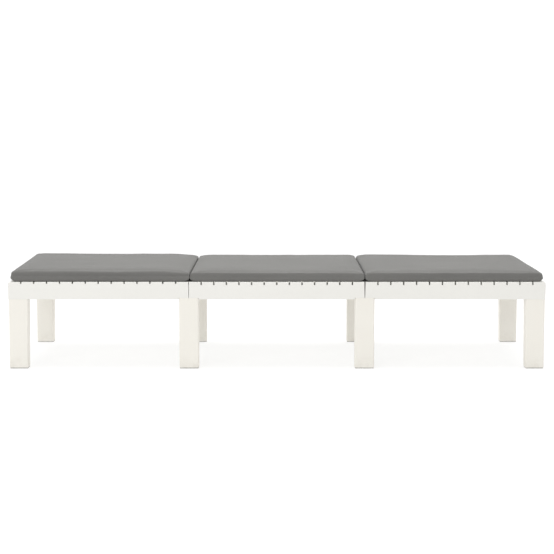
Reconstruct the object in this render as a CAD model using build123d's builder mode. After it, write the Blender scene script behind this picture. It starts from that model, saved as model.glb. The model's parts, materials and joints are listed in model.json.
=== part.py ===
"""Reclining sun lounger: three slatted modules on eight legs, a folding backrest with its prop, and a pad.

Millimetres. +X points to the foot end, +Z up, and the near side is -Y. The origin is on the ground under
the middle of the lounger.
"""
from build123d import *
from math import cos, radians, sin, tan
import os

os.makedirs("parts", exist_ok=True)

# ---------------------------------------------------------------- driving dimensions
LENGTH = 1900.0
WIDTH = 650.0
DECK_TOP = 310.0
RAIL_HEIGHT = 62.0
SEAM = 311.5                    # the seat module is twice this long
HEAD_GAP = 1.2                  # joint between head and seat modules, at its foot
HEAD_GAP_TOP = 2.2
FOOT_GAP = 1.4                  # joint between seat and foot modules, at its foot
FOOT_GAP_TOP = 4.4
SLATS = 14                      # slats in each module
SLAT_GAP = 5.0
HEAD_NOTCH = 7.0                # depth of the notches in the head rails
DECK_NOTCH = 11.0               # depth of the notches in the seat and foot rails
SLAT_THICK = 12.0
RIB_HEIGHT = 6.0                # ribs that join the slats, under the gaps
RIB_WIDTH = 14.0

RAIL_WIDTH = 22.0
RAIL_WALL = 5.0
RAIL_CROWN = 16.0               # solid top of a side rail, deeper than its notches
CROSS_CROWN = 6.0
END_ROUND = 7.0
EDGE_ROUND = 3.0
FOOT_CHAMFER = 1.0

LEG_WIDTH = 69.0
LEG_TAPER = 3.5                 # a corner leg loses this on its inner side
LEG_DEPTH = 50.0
LEG_DEPTH_TAPER = 2.0
LEG_INSET = 1.0                 # legs stand this far inside the rail faces
LEG_ROUND = 6.0
LEG_WALL = 4.0
MID_LEG_RISE = 5.0              # the middle legs reach this far up into the rails
TONGUE_TOP = 30.0               # height of the tongue above the leg
TONGUE_PLAY = 0.2
GLIDE = 4.0
GLIDE_PLUG = 14.0
GLIDE_INSET = 1.5
PLUG_PLAY = 1.0

RECLINE = 45.0
PIVOT_BACK = 11.5               # hinge axis, from the seam towards the head
PIVOT_DROP = 15.0               # hinge axis, below the deck
PANEL_THICK = 30.0
PANEL_SIDE_GAP = 6.0
PANEL_EDGE = 6.0
PANEL_END_GAP = 3.0
KNUCKLE_STEM = 12.0             # from the hinge axis to the panel's first slat
KNUCKLE_R = 9.0
KNUCKLE_LENGTH = 20.0
KNUCKLE_END = 2.0               # closed inner end of the knuckle's bore
HINGE_PIN_R = 5.0
RUNNING = 0.05                  # radial play of a turning pin

PROP_AT = 285.0                 # prop pivot, from the hinge axis along the panel
PROP_DROP = 12.0                # prop pivot, below the hinge axis at rest
PROP_LENGTH = 256.0
PROP_SWING = 100.0              # the prop turns this far on the backrest at full recline
ARM_WIDTH = 24.0
ARM_THICK = 10.0
ARM_OUTER = 268.5               # arm's outer face, from the centre line
BAR_R = 7.0
BAR_REACH = 289.0
BAR_NOTCH = 9.5                 # half width of the notch in the stringers where the bar lies folded
PROP_PIN_R = 4.0
RACK_INNER = 279.0
RACK_BOTTOM = 253.0
RACK_CLEAR = 0.5                # between the bar and the rack as the bar travels
NOTCH_DROP = 3.5
STOP_ANGLES = (15.0, 22.5, 30.0, 37.5, 45.0)
LAST_STOPS = (37.5, 41.25, 45.0)    # the racks' tops follow the bar's path over these
RACK_STEP = 2.5                 # the bar's path is looked at this often, in degrees
RACK_RUN_OUT = 30.0             # the racks' humps end this far past the last notch
BAR_CHAMFER = 1.5

STRINGER_OUTER = 258.0
STRINGER_WIDTH = 14.0
LEDGE_WIDTH = 12.0
LEDGE_HEIGHT = 20.0
BEAM_WIDTH = 22.0
BEAM_HEIGHT = 36.0

CUSHION_GAP = 0.4
CUSHION_HEAD = 38.0
CUSHION_SEAT = 34.0
CUSHION_END_INSET = 7.0
CUSHION_SIDE_INSET = 3.0
CUSHION_ROUND = 8.0
STRAP_AT = 427.0                # cushion strap, from the hinge axis
STRAP_WIDTH = 25.0
STRAP_THICK = 1.6

# ---------------------------------------------------------------- worked out
HALF_L = LENGTH / 2
HALF_W = WIDTH / 2
RAIL_BOTTOM = DECK_TOP - RAIL_HEIGHT
CROSS_BOTTOM = RAIL_BOTTOM + MID_LEG_RISE
HEAD_DRAFT = (HEAD_GAP_TOP - HEAD_GAP) / 2
FOOT_DRAFT = (FOOT_GAP_TOP - FOOT_GAP) / 2
RAIL_INNER = HALF_W - RAIL_WIDTH
HOLLOW_INNER = RAIL_INNER + RAIL_WALL
HOLLOW_OUTER = HALF_W - RAIL_WALL
SLAT_BOTTOM = DECK_TOP - SLAT_THICK
PIVOT_X = -SEAM - PIVOT_BACK
PIVOT_Z = DECK_TOP - PIVOT_DROP
PANEL_HALF_W = RAIL_INNER - PANEL_SIDE_GAP
PANEL_INNER_W = PANEL_HALF_W - PANEL_EDGE
PANEL_BOTTOM = DECK_TOP - PANEL_THICK
PANEL_END = -HALF_L + RAIL_WIDTH + PANEL_END_GAP
PANEL_START = PIVOT_X - KNUCKLE_STEM
SIDES = {"near": -1, "far": 1}

HEAD_X = (-HALF_L, -SEAM - HEAD_GAP / 2)
SEAT_X = (-SEAM + HEAD_GAP / 2, SEAM - FOOT_GAP / 2)
FOOT_X = (SEAM + FOOT_GAP / 2, HALF_L)


def slat_joints(start, end):
    """Places of the gaps between the slats of the module that runs from start to end."""
    pitch = (end - start) / SLATS
    return [start + pitch * n for n in range(1, SLATS)]


HEAD_JOINTS = slat_joints(-HALF_L, -SEAM)
SEAT_JOINTS = slat_joints(-SEAM, SEAM)
FOOT_JOINTS = slat_joints(SEAM, HALF_L)


def save(builder, name):
    """Label the finished piece and write it."""
    builder.part.label = name
    export_step(builder.part, f"parts/{name}.step")


def add_box(x0, x1, y0, y1, z0, z1, mode=Mode.ADD):
    """A box between two corners, in the part being built."""
    with Locations(((x0 + x1) / 2, (y0 + y1) / 2, (z0 + z1) / 2)):
        Box(abs(x1 - x0), abs(y1 - y0), abs(z1 - z0), mode=mode)


def drill_y(x, z, radius, y0, y1, mode=Mode.SUBTRACT):
    """A round hole, or a pin, across the lounger between y0 and y1."""
    with Locations(Location((x, (y0 + y1) / 2, z), (90, 0, 0))):
        Cylinder(radius, abs(y1 - y0), mode=mode)


def drill_x(y, z, radius, x0, x1, mode=Mode.SUBTRACT):
    """A round hole, or a pin, along the lounger between x0 and x1."""
    with Locations(Location(((x0 + x1) / 2, y, z), (0, 90, 0))):
        Cylinder(radius, abs(x1 - x0), mode=mode)


def drill_z(x, y, radius, z0, z1, mode=Mode.SUBTRACT):
    """A round hole, or a pin, upright between z0 and z1."""
    with Locations((x, y, (z0 + z1) / 2)):
        Cylinder(radius, abs(z1 - z0), mode=mode)


# ---------------------------------------------------------------- shared fixing places
TAB_Z = (262.0, 282.0)
TAB_HALF = 4.0
HEAD_TAB_Z = (257.0, 270.0)     # the low cross rail under the hinge
LEDGE_SCREW_R = 2.0
LEDGE_SCREWS = 5
LEDGE_SCREW_MARGIN = 90.0
TAB_PLAY = 0.1
MID_LEG_REACH = LEG_WIDTH / 2   # of a middle leg, to each side of its seam
HINGE_BOSS = 24.0
HINGE_PIN_STOP = 2.0            # the pin ends this far inside its boss
HINGE_PIN_END = HOLLOW_OUTER - HINGE_PIN_STOP
MODULE_BOLT_R = 3.0
MODULE_BOLT_Z = 262.0
MODULE_BOLT_YS = (-200.0, 0.0, 200.0)
DECK_SCREW_R = 2.0
RACK_SCREW_UP = 6.0
DECK_SCREW_YS = (-220.0, 220.0)

HEAD_CROSS_X = (HEAD_X[1] - RAIL_WIDTH, HEAD_X[1])
SEAT_CROSS_HEAD_X = (SEAT_X[0], SEAT_X[0] + RAIL_WIDTH)
SEAT_CROSS_FOOT_X = (SEAT_X[1] - RAIL_WIDTH, SEAT_X[1])
FOOT_CROSS_X = (FOOT_X[0], FOOT_X[0] + RAIL_WIDTH)
HEAD_END_X = (-HALF_L, -HALF_L + RAIL_WIDTH)
FOOT_END_X = (HALF_L - RAIL_WIDTH, HALF_L)
KNUCKLE_ROOM = 10.0             # under the hinge knuckles
HEAD_CROSS_TOP = PIVOT_Z - KNUCKLE_R - KNUCKLE_ROOM


def middle(span):
    return (span[0] + span[1]) / 2


def spread(span, count, margin):
    """Evenly spaced places along a span, the first and last a margin from its ends."""
    step = (span[1] - span[0] - 2 * margin) / (count - 1)
    return [span[0] + margin + step * n for n in range(count)]


# Tongues of the legs, as spans along X, and the rail that each one plugs into.
HEAD_LEG_X = (-HALF_L + LEG_INSET, -HALF_L + LEG_INSET + LEG_WIDTH)
FOOT_LEG_X = (HALF_L - LEG_INSET - LEG_WIDTH, HALF_L - LEG_INSET)
HEAD_SEAT_LEG_X = (-SEAM - LEG_WIDTH / 2, -SEAM + LEG_WIDTH / 2)
SEAT_FOOT_LEG_X = (SEAM - LEG_WIDTH / 2, SEAM + LEG_WIDTH / 2)
HEAD_END_TONGUE = (HEAD_X[0] + RAIL_WALL + TONGUE_PLAY, HEAD_LEG_X[1] - LEG_WALL)
HEAD_SEAM_TONGUE = (HEAD_SEAT_LEG_X[0] + LEG_WALL, HEAD_X[1] - RAIL_WALL - TONGUE_PLAY)
SEAT_HEAD_TONGUE = (SEAT_X[0] + RAIL_WALL + TONGUE_PLAY, HEAD_SEAT_LEG_X[1] - LEG_WALL)
SEAT_FOOT_TONGUE = (SEAT_FOOT_LEG_X[0] + LEG_WALL, SEAT_X[1] - RAIL_WALL - TONGUE_PLAY)
FOOT_SEAM_TONGUE = (FOOT_X[0] + RAIL_WALL + TONGUE_PLAY, SEAT_FOOT_LEG_X[1] - LEG_WALL)
FOOT_END_TONGUE = (FOOT_LEG_X[0] + LEG_WALL, FOOT_X[1] - RAIL_WALL - TONGUE_PLAY)


# ---------------------------------------------------------------- path of the prop's foot
def foot_at(angle):
    """Where the foot bar is, in X and Z, when the backrest is raised by angle degrees."""
    up = radians(angle)
    down = up * (PROP_SWING / RECLINE - 1)
    pivot_x = -PROP_AT * cos(up) - PROP_DROP * sin(up)
    pivot_z = PROP_AT * sin(up) - PROP_DROP * cos(up)
    arm_x = -PROP_LENGTH * cos(down)
    arm_z = -PROP_LENGTH * sin(down)
    return PIVOT_X + pivot_x + arm_x, PIVOT_Z + pivot_z + arm_z


PROP_PIVOT = (PIVOT_X - PROP_AT, PIVOT_Z - PROP_DROP)
FOOT_REST = foot_at(0)
RACK_STEPS = int((STOP_ANGLES[-1] - STOP_ANGLES[0]) / RACK_STEP)
RACK_ANGLES = [STOP_ANGLES[0] + RACK_STEP * n for n in range(RACK_STEPS + 1)]
RACK_TOP = min(foot_at(a)[1] for a in RACK_ANGLES) - BAR_R - RACK_CLEAR


# ---------------------------------------------------------------- side rails
def side_rail(name, span, side, joints, notch, drafts, tabs, strip_z):
    """A notched side rail: a channel open below, closed at both ends. An end with no draft is rounded."""
    outer = side * HALF_W
    inner = side * RAIL_INNER
    outermost = 0 if side < 0 else -1
    with BuildPart() as rail:
        with BuildSketch(Plane.XZ.offset(-inner)):
            with BuildLine():
                Polyline(
                    (span[0], RAIL_BOTTOM),
                    (span[1], RAIL_BOTTOM),
                    (span[1] - (drafts[1] or 0), DECK_TOP),
                    (span[0] + (drafts[0] or 0), DECK_TOP),
                    close=True,
                )
            make_face()
        extrude(amount=-side * RAIL_WIDTH)
        chamfer(rail.edges().filter_by(Axis.X).group_by(Axis.Z)[0].sort_by(Axis.Y)[outermost], FOOT_CHAMFER)
        ends = rail.edges().filter_by(Axis.Y).group_by(Axis.Z)[-1].sort_by(Axis.X)
        for draft, end in zip(drafts, (0, -1)):
            if draft is None:
                fillet(ends[end], END_ROUND)
        fillet(rail.edges().filter_by(Axis.X).group_by(Axis.Z)[-1].sort_by(Axis.Y)[outermost], EDGE_ROUND)
        add_box(span[0] + RAIL_WALL, span[1] - RAIL_WALL, side * HOLLOW_INNER, side * HOLLOW_OUTER,
                RAIL_BOTTOM, DECK_TOP - RAIL_CROWN, Mode.SUBTRACT)
        for x in joints:
            add_box(x - SLAT_GAP / 2, x + SLAT_GAP / 2, inner, outer,
                    DECK_TOP - notch, DECK_TOP, Mode.SUBTRACT)
        for draft, end, inward in zip(drafts, span, (1, -1)):
            if draft is not None:
                add_box(end, end + inward * MID_LEG_REACH, inner, outer,
                        RAIL_BOTTOM, CROSS_BOTTOM, Mode.SUBTRACT)
        for x, z_span in tabs:
            add_box(x - TAB_HALF - TAB_PLAY, x + TAB_HALF + TAB_PLAY, inner, side * HOLLOW_INNER,
                    z_span[0] - TAB_PLAY, z_span[1] + TAB_PLAY, Mode.SUBTRACT)
        for x in spread(span, LEDGE_SCREWS, LEDGE_SCREW_MARGIN):
            drill_y(x, strip_z, LEDGE_SCREW_R, inner, side * HOLLOW_INNER)
        if span == HEAD_X:
            add_box(PIVOT_X - HINGE_BOSS / 2, PIVOT_X + HINGE_BOSS / 2,
                    side * HOLLOW_INNER, side * HOLLOW_OUTER,
                    PIVOT_Z - HINGE_BOSS / 2, DECK_TOP - RAIL_CROWN)
            drill_y(PIVOT_X, PIVOT_Z, HINGE_PIN_R, inner, side * HINGE_PIN_END)
    save(rail, name)


RACK_SCREW_Z = RACK_BOTTOM + RACK_SCREW_UP
LEDGE_BOTTOM = SLAT_BOTTOM - LEDGE_HEIGHT
LEDGE_SCREW_Z = LEDGE_BOTTOM + LEDGE_HEIGHT / 2

for word, side in SIDES.items():
    side_rail(f"head_rail_{word}", HEAD_X, side, HEAD_JOINTS, HEAD_NOTCH, (None, HEAD_DRAFT),
              [(middle(HEAD_END_X), TAB_Z), (middle(HEAD_CROSS_X), HEAD_TAB_Z)], RACK_SCREW_Z)
    side_rail(f"seat_rail_{word}", SEAT_X, side, SEAT_JOINTS, DECK_NOTCH, (HEAD_DRAFT, FOOT_DRAFT),
              [(middle(SEAT_CROSS_HEAD_X), TAB_Z), (middle(SEAT_CROSS_FOOT_X), TAB_Z)], LEDGE_SCREW_Z)
    side_rail(f"foot_rail_{word}", FOOT_X, side, FOOT_JOINTS, DECK_NOTCH, (FOOT_DRAFT, None),
              [(middle(FOOT_CROSS_X), TAB_Z), (middle(FOOT_END_X), TAB_Z)], LEDGE_SCREW_Z)


# ---------------------------------------------------------------- end and cross rails
def cross_rail(name, span, top, tab_z, rounded=0, bolt_side=0, deck_screws=True):
    """A rail between the side rails: a channel open below, with a tab at each end."""
    bottom = RAIL_BOTTOM if rounded else CROSS_BOTTOM
    with BuildPart() as rail:
        add_box(*span, -RAIL_INNER, RAIL_INNER, bottom, top)
        top_edges = rail.edges().filter_by(Axis.Y).group_by(Axis.Z)[-1].sort_by(Axis.X)
        if rounded < 0:
            fillet(top_edges[0], END_ROUND)
        if rounded > 0:
            fillet(top_edges[-1], END_ROUND)
        crown = RAIL_CROWN if rounded else CROSS_CROWN
        add_box(span[0] + RAIL_WALL, span[1] - RAIL_WALL, -RAIL_INNER + RAIL_WALL, RAIL_INNER - RAIL_WALL,
                bottom, top - crown, Mode.SUBTRACT)
        for side in SIDES.values():
            add_box(middle(span) - TAB_HALF, middle(span) + TAB_HALF, side * (RAIL_INNER - RAIL_WALL),
                    side * HOLLOW_INNER, *tab_z)
        if bolt_side:
            wall = span[1] if bolt_side > 0 else span[0]
            for y in MODULE_BOLT_YS:
                drill_x(y, MODULE_BOLT_Z, MODULE_BOLT_R, wall - bolt_side * RAIL_WALL, wall)
        if deck_screws:
            for y in DECK_SCREW_YS:
                drill_z(middle(span), y, DECK_SCREW_R, top - crown, top)
    save(rail, name)


cross_rail("head_end_rail", HEAD_END_X, DECK_TOP, TAB_Z, rounded=-1, deck_screws=False)
cross_rail("head_cross_rail", HEAD_CROSS_X, HEAD_CROSS_TOP, HEAD_TAB_Z, bolt_side=1, deck_screws=False)
cross_rail("seat_cross_rail_head", SEAT_CROSS_HEAD_X, SLAT_BOTTOM, TAB_Z, bolt_side=-1)
cross_rail("seat_cross_rail_foot", SEAT_CROSS_FOOT_X, SLAT_BOTTOM, TAB_Z, bolt_side=1)
cross_rail("foot_cross_rail", FOOT_CROSS_X, SLAT_BOTTOM, TAB_Z, bolt_side=-1)
cross_rail("foot_end_rail", FOOT_END_X, DECK_TOP, TAB_Z, rounded=1, deck_screws=False)


# ---------------------------------------------------------------- slatted decks
def slatted(span, half_width, joints, ribs, bottom=SLAT_BOTTOM, top=DECK_TOP):
    """Slats with open gaps at the joints, held together by low ribs."""
    add_box(*span, -half_width, half_width, bottom, top)
    for x in joints:
        add_box(x - SLAT_GAP / 2, x + SLAT_GAP / 2, -half_width, half_width, bottom, top, Mode.SUBTRACT)
    for y in ribs:
        add_box(*span, y - RIB_WIDTH / 2, y + RIB_WIDTH / 2, bottom, bottom + RIB_HEIGHT)


PILOT_DEPTH = 8.0
RIB_PLACES = (-150.0, 0.0, 150.0)
BACK_RIB_PLACES = (-120.0, 0.0, 120.0)
DECK_RIBS = [-RAIL_INNER + RIB_WIDTH / 2, *RIB_PLACES, RAIL_INNER - RIB_WIDTH / 2]
PILOT_TOP = SLAT_BOTTOM + PILOT_DEPTH
BEAM_SCREW_MARGIN = 155.75      # lands in the middle of a slat

for name, module, span, joints, rails in (
        ("seat_deck", SEAT_X, SEAT_X, SEAT_JOINTS, (SEAT_CROSS_HEAD_X, SEAT_CROSS_FOOT_X)),
        ("foot_deck", FOOT_X, (FOOT_X[0], FOOT_END_X[0]), FOOT_JOINTS, (FOOT_CROSS_X,))):
    with BuildPart() as deck:
        slatted(span, RAIL_INNER, joints, DECK_RIBS)
        for rail_span in rails:
            for y in DECK_SCREW_YS:
                drill_z(middle(rail_span), y, DECK_SCREW_R, SLAT_BOTTOM, PILOT_TOP)
        for x in spread(module, 2, BEAM_SCREW_MARGIN):
            drill_z(x, 0, DECK_SCREW_R, SLAT_BOTTOM, PILOT_TOP)
    save(deck, name)

SEAT_BEAM_X = (SEAT_CROSS_HEAD_X[1], SEAT_CROSS_FOOT_X[0])
FOOT_BEAM_X = (FOOT_CROSS_X[1], FOOT_END_X[0])
BEAM_BOTTOM = SLAT_BOTTOM - BEAM_HEIGHT

for name, span, module in (
        ("seat_centre_beam", SEAT_BEAM_X, SEAT_X),
        ("foot_centre_beam", FOOT_BEAM_X, FOOT_X)):
    with BuildPart() as beam:
        add_box(*span, -BEAM_WIDTH / 2, BEAM_WIDTH / 2, BEAM_BOTTOM, SLAT_BOTTOM)
        add_box(span[0] + RAIL_WALL, span[1] - RAIL_WALL, -BEAM_WIDTH / 2 + RAIL_WALL,
                BEAM_WIDTH / 2 - RAIL_WALL, BEAM_BOTTOM, SLAT_BOTTOM - CROSS_CROWN, Mode.SUBTRACT)
        for x in spread(module, 2, BEAM_SCREW_MARGIN):
            drill_z(x, 0, DECK_SCREW_R, SLAT_BOTTOM - CROSS_CROWN, SLAT_BOTTOM)
    save(beam, name)


# ---------------------------------------------------------------- ledges and racks
SCREW_HEAD_R = 4.0
SCREW_HEAD = 2.5

for word, side in SIDES.items():
    for module, span in (("seat", (SEAT_CROSS_HEAD_X[1], SEAT_CROSS_FOOT_X[0])),
                         ("foot", (FOOT_CROSS_X[1], FOOT_END_X[0]))):
        with BuildPart() as ledge:
            face = side * (RAIL_INNER - LEDGE_WIDTH)
            add_box(*span, face, side * RAIL_INNER, LEDGE_BOTTOM, SLAT_BOTTOM)
            module_span = SEAT_X if module == "seat" else FOOT_X
            for x in spread(module_span, LEDGE_SCREWS, LEDGE_SCREW_MARGIN):
                drill_y(x, LEDGE_SCREW_Z, LEDGE_SCREW_R, face, side * RAIL_INNER)
                drill_y(x, LEDGE_SCREW_Z, SCREW_HEAD_R, face, face + side * SCREW_HEAD)
        save(ledge, f"{module}_ledge_{word}")

    with BuildPart() as rack:
        face = side * RACK_INNER
        last = foot_at(STOP_ANGLES[-1])
        hump = [foot_at(a) for a in LAST_STOPS]
        with BuildSketch(Plane.XZ.offset(-side * RAIL_INNER)):
            with BuildLine():
                Polyline(
                    (HEAD_END_X[1], RACK_BOTTOM),
                    (HEAD_CROSS_X[0], RACK_BOTTOM),
                    (HEAD_CROSS_X[0], RACK_TOP),
                    (last[0] + RACK_RUN_OUT, RACK_TOP),
                    (last[0] + RACK_RUN_OUT / 2, last[1] - BAR_R - RACK_CLEAR),
                    *[(x, z - BAR_R - RACK_CLEAR) for x, z in reversed(hump)],
                    (foot_at(STOP_ANGLES[2])[0], RACK_TOP),
                    (HEAD_END_X[1], RACK_TOP),
                    close=True,
                )
            make_face()
        extrude(amount=side * (RAIL_INNER - RACK_INNER))
        for angle in STOP_ANGLES:
            x, z = foot_at(angle)
            drill_y(x, z - NOTCH_DROP, BAR_R, face, side * RAIL_INNER)
        for x in spread(HEAD_X, LEDGE_SCREWS, LEDGE_SCREW_MARGIN):
            drill_y(x, RACK_SCREW_Z, LEDGE_SCREW_R, face, side * RAIL_INNER)
            drill_y(x, RACK_SCREW_Z, SCREW_HEAD_R, face, face + side * SCREW_HEAD)
    save(rack, f"head_rack_{word}")


# ---------------------------------------------------------------- legs
def leg(name, span, side, taper_low, taper_high, top, tongues):
    """A broad tapered hollow leg with tongues that plug up into the rails."""
    outer = side * (HALF_W - LEG_INSET)
    inner = outer - side * LEG_DEPTH

    def section(height, wall):
        """Outline of the leg at a height, set in by wall."""
        share = (top - height) / (top - GLIDE)
        x0 = span[0] + taper_low * share + wall
        x1 = span[1] - taper_high * share - wall
        y0 = inner + side * (LEG_DEPTH_TAPER * share + wall)
        y1 = outer - side * wall
        with BuildSketch(Plane.XY.offset(height)) as outline:
            with Locations(((x0 + x1) / 2, (y0 + y1) / 2)):
                RectangleRounded(x1 - x0, abs(y1 - y0), LEG_ROUND - wall)
        return outline.sketch

    with BuildPart() as body:
        loft([section(GLIDE, 0), section(top, 0)])
        loft([section(GLIDE, LEG_WALL), section(top - LEG_WALL, LEG_WALL)], mode=Mode.SUBTRACT)
        for tongue in tongues:
            add_box(*tongue, side * (HOLLOW_INNER + TONGUE_PLAY), side * (HOLLOW_OUTER - TONGUE_PLAY),
                    top - LEG_WALL, RAIL_BOTTOM + TONGUE_TOP)
    save(body, name)


LEG_PLACES = {
    "head": (HEAD_LEG_X, 0.0, LEG_TAPER, RAIL_BOTTOM, [HEAD_END_TONGUE]),
    "head_seat": (HEAD_SEAT_LEG_X, 0.0, 0.0, CROSS_BOTTOM, [HEAD_SEAM_TONGUE, SEAT_HEAD_TONGUE]),
    "seat_foot": (SEAT_FOOT_LEG_X, 0.0, 0.0, CROSS_BOTTOM, [SEAT_FOOT_TONGUE, FOOT_SEAM_TONGUE]),
    "foot": (FOOT_LEG_X, LEG_TAPER, 0.0, RAIL_BOTTOM, [FOOT_END_TONGUE]),
}
for word, side in SIDES.items():
    for place, (span, taper_low, taper_high, top, tongues) in LEG_PLACES.items():
        leg(f"leg_{place}_{word}", span, side, taper_low, taper_high, top, tongues)

with BuildPart() as leg_glides:
    for side in SIDES.values():
        outer = side * (HALF_W - LEG_INSET)
        inner = outer - side * (LEG_DEPTH - LEG_DEPTH_TAPER)
        for span, taper_low, taper_high, _, _ in LEG_PLACES.values():
            x0, x1 = span[0] + taper_low, span[1] - taper_high
            centre = ((x0 + x1) / 2, (inner + outer) / 2)
            width = x1 - x0
            depth = abs(outer - inner)
            foot = (0.0, GLIDE, GLIDE_INSET)
            plug = (GLIDE, GLIDE_PLUG, LEG_WALL + PLUG_PLAY)
            for height, thick, inset in (foot, plug):
                with BuildSketch(Plane.XY.offset(height)):
                    with Locations(centre):
                        RectangleRounded(width - 2 * inset, depth - 2 * inset, LEG_ROUND - LEG_WALL)
                extrude(amount=thick)
save(leg_glides, "leg_glides")


# ---------------------------------------------------------------- backrest
STRINGER_INNER = STRINGER_OUTER - STRINGER_WIDTH
STRINGER_X = (PANEL_END + PANEL_EDGE, PANEL_START)
HEAD_PITCH = HEAD_JOINTS[1] - HEAD_JOINTS[0]
SCREWED_SLATS = (0, 3, 5, 8, 11)
BACK_SCREWS = [HEAD_JOINTS[n] + HEAD_PITCH / 2 for n in SCREWED_SLATS]
BACK_SCREW_Y = (STRINGER_INNER + STRINGER_OUTER) / 2

with BuildPart() as backrest_slats:
    back_ribs = [side * (PANEL_INNER_W - RIB_WIDTH / 2) for side in SIDES.values()]
    back_ribs += [side * BACK_SCREW_Y for side in SIDES.values()]
    slatted(STRINGER_X, PANEL_INNER_W, HEAD_JOINTS, [*back_ribs, *BACK_RIB_PLACES])
    for side in SIDES.values():
        for x in BACK_SCREWS:
            drill_z(x, side * BACK_SCREW_Y, DECK_SCREW_R, SLAT_BOTTOM, PILOT_TOP)
save(backrest_slats, "backrest_slats")

with BuildPart() as backrest_end_edge:
    add_box(PANEL_END, STRINGER_X[0], -PANEL_INNER_W, PANEL_INNER_W, PANEL_BOTTOM, DECK_TOP)
save(backrest_end_edge, "backrest_end_edge")

for word, side in SIDES.items():
    with BuildPart() as edge:
        outer = side * PANEL_HALF_W
        inner = side * PANEL_INNER_W
        add_box(PANEL_END, PANEL_START, inner, outer, PANEL_BOTTOM, DECK_TOP)
        free_corners = edge.edges().filter_by(Axis.Y).group_by(Axis.X)[0]
        fillet(free_corners, EDGE_ROUND)
        knuckle_inner = outer - side * KNUCKLE_LENGTH
        add_box(PANEL_START, PIVOT_X, inner, outer, PIVOT_Z - KNUCKLE_R, PIVOT_Z + KNUCKLE_R)
        drill_y(PIVOT_X, PIVOT_Z, KNUCKLE_R, knuckle_inner, outer, Mode.ADD)
        drill_y(PIVOT_X, PIVOT_Z, HINGE_PIN_R + RUNNING, knuckle_inner + side * KNUCKLE_END, outer)
    save(edge, f"backrest_edge_{word}")

    with BuildPart() as stringer:
        inner = side * STRINGER_INNER
        outer = side * STRINGER_OUTER
        add_box(*STRINGER_X, inner, outer, PANEL_BOTTOM, SLAT_BOTTOM)
        drill_y(*PROP_PIVOT, ARM_WIDTH / 2, inner, outer, Mode.ADD)
        drill_y(*PROP_PIVOT, PROP_PIN_R, inner, outer)
        add_box(FOOT_REST[0] - BAR_NOTCH, FOOT_REST[0] + BAR_NOTCH, inner, outer,
                PANEL_BOTTOM, FOOT_REST[1] + BAR_NOTCH, Mode.SUBTRACT)
        for x in BACK_SCREWS:
            drill_z(x, side * BACK_SCREW_Y, DECK_SCREW_R, PANEL_BOTTOM, SLAT_BOTTOM)
            drill_z(x, side * BACK_SCREW_Y, SCREW_HEAD_R, PANEL_BOTTOM, PANEL_BOTTOM + SCREW_HEAD)
    save(stringer, f"backrest_stringer_{word}")

# ---------------------------------------------------------------- hinge and prop pins
PIN_HEAD = 3.0
PIN_LIP = 3.0                   # the pin's head is this much wider than its shank
PIN_TIP_PLAY = 0.5
PIN_SEAT_PLAY = 0.4

with BuildPart() as hinge_pins:
    for side in SIDES.values():
        tip = side * (PANEL_HALF_W - KNUCKLE_LENGTH + KNUCKLE_END + PIN_TIP_PLAY)
        drill_y(PIVOT_X, PIVOT_Z, HINGE_PIN_R, tip, side * HINGE_PIN_END, Mode.ADD)
save(hinge_pins, "hinge_pins")

with BuildPart() as prop_pivot_pins:
    for side in SIDES.values():
        seat = side * (ARM_OUTER + PIN_SEAT_PLAY)
        drill_y(*PROP_PIVOT, PROP_PIN_R, side * STRINGER_INNER, seat, Mode.ADD)
        drill_y(*PROP_PIVOT, PROP_PIN_R + PIN_LIP, seat, seat + side * PIN_HEAD, Mode.ADD)
save(prop_pivot_pins, "prop_pivot_pins")

# ---------------------------------------------------------------- prop
for word, side in SIDES.items():
    with BuildPart() as arm:
        inner = side * (ARM_OUTER - ARM_THICK)
        outer = side * ARM_OUTER
        arm_centre = ((FOOT_REST[0] + PROP_PIVOT[0]) / 2, inner, PROP_PIVOT[1])
        with BuildSketch(Plane(origin=arm_centre, x_dir=(1, 0, 0), z_dir=(0, side, 0))):
            SlotCenterToCenter(PROP_LENGTH, ARM_WIDTH)
        extrude(amount=ARM_THICK)
        drill_y(*PROP_PIVOT, PROP_PIN_R + RUNNING, inner, outer)
        drill_y(*FOOT_REST, BAR_R, inner, outer)
    save(arm, f"prop_arm_{word}")

with BuildPart() as prop_bar:
    drill_y(*FOOT_REST, BAR_R, -BAR_REACH, BAR_REACH, Mode.ADD)
    chamfer(prop_bar.edges().filter_by(GeomType.CIRCLE), BAR_CHAMFER)
save(prop_bar, "prop_bar")

# ---------------------------------------------------------------- fasteners
BOLT_HEAD_R = 5.0
BOLT_HEAD = 3.5
NUT = 5.0

BOLTED_WALLS = (
    (HEAD_X[1] - RAIL_WALL, SEAT_X[0] + RAIL_WALL),
    (SEAT_X[1] - RAIL_WALL, FOOT_X[0] + RAIL_WALL),
)

with BuildPart() as module_bolts:
    for wall, far_wall in BOLTED_WALLS:
        for y in MODULE_BOLT_YS:
            drill_x(y, MODULE_BOLT_Z, MODULE_BOLT_R, wall, far_wall + NUT, Mode.ADD)
            drill_x(y, MODULE_BOLT_Z, BOLT_HEAD_R, wall - BOLT_HEAD, wall, Mode.ADD)
save(module_bolts, "module_bolts")

with BuildPart() as module_nuts:
    for _, far_wall in BOLTED_WALLS:
        for y in MODULE_BOLT_YS:
            face = Plane(origin=(far_wall, y, MODULE_BOLT_Z), x_dir=(0, 1, 0), z_dir=(1, 0, 0))
            with BuildSketch(face):
                RegularPolygon(BOLT_HEAD_R, 6, major_radius=False)
                Circle(MODULE_BOLT_R, mode=Mode.SUBTRACT)
            extrude(amount=NUT)
save(module_nuts, "module_nuts")

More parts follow.
